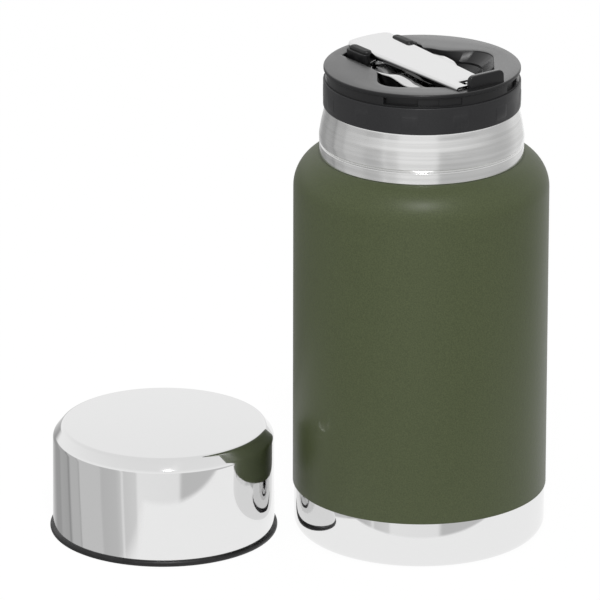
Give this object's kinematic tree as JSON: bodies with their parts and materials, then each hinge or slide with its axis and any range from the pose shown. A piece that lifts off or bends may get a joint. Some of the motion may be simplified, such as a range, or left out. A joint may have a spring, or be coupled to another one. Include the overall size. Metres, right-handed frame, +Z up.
{
  "type": "insulated food jar",
  "caption": "Vacuum-insulated steel food jar with a screw stopper that stows a folding spoon, and its lift-off cap standing beside it.",
  "frame": {"origin": "centre of the jar's base, on the surface it stands on", "axes": "+Z up along the jar's axis; the cap stands to the -X side; -Y faces the picture's camera"},
  "size_m": [0.1905, 0.0972, 0.1912],
  "materials": {
    "green_coat": "matt powder coat, olive green",
    "mirror_steel": "polished stainless steel",
    "turned_steel": "stainless steel, turned lines",
    "liner_steel": "stainless steel, electropolished",
    "raw_steel": "raw stainless steel",
    "copper_foil": "copper foil",
    "getter_metal": "sintered metal",
    "seal_glass": "fused sealing glass",
    "satin_black": "satin moulded plastic",
    "black_plastic": "fine matt moulded plastic",
    "white_foam": "insulating foam",
    "clear_silicone": "silicone rubber",
    "black_rubber": "smooth black rubber",
    "spoon_steel": "polished stainless steel sheet"
  },
  "bodies": {
    "jar": {"outer_shell": "green_coat", "base_cup": "mirror_steel", "neck": "turned_steel", "inner_liner": "liner_steel", "heat_shield": "copper_foil", "vacuum_base": "raw_steel", "vacuum_seal": "seal_glass", "getter": "getter_metal"},
    "gasket": {"stopper_gasket": "clear_silicone"},
    "stopper": {"stopper_plug": "black_plastic", "stopper_foam": "white_foam", "stopper_collar": "black_plastic", "stopper_cover": "satin_black", "spoon_clips": "black_rubber"},
    "spoon": {"spoon_bowl": "spoon_steel", "spoon_pin": "raw_steel"},
    "handle": {"spoon_handle": "spoon_steel"},
    "cap": {"cap_shell": "mirror_steel", "cap_sleeve": "black_plastic", "cap_ring": "black_rubber"}
  },
  "joints": [
    {"name": "stopper_rise", "type": "slide", "parent": "jar", "child": "gasket", "axis": [0, 0, 1], "range_m": [0, 0.0201]},
    {"name": "stopper_turn", "type": "hinge", "parent": "gasket", "child": "stopper", "pos_m": [0, 0, 0.18], "axis": [0, 0, 1], "range_deg": [0, 450]},
    {"name": "spoon_lift", "type": "slide", "parent": "stopper", "child": "spoon", "axis": [0, 0, 1], "range_m": [0, 0.18]},
    {"name": "handle_unfold", "type": "hinge", "parent": "spoon", "child": "handle", "pos_m": [0.01677, -0.02367, 0.18395], "axis": [0.8039, 0.5948, 0], "range_deg": [0, 180]},
    {"name": "cap_lift", "type": "slide", "parent": "jar", "child": "cap", "axis": [0, 0, 1], "range_m": [0, 0.15]}
  ],
  "couplings": [
    {"joint": "stopper_rise", "follows": "stopper_turn", "m_per_rad": 0.0025465},
    {"joint": "handle_unfold", "follows": "spoon_lift", "rad_per_m": 17.453}
  ]
}
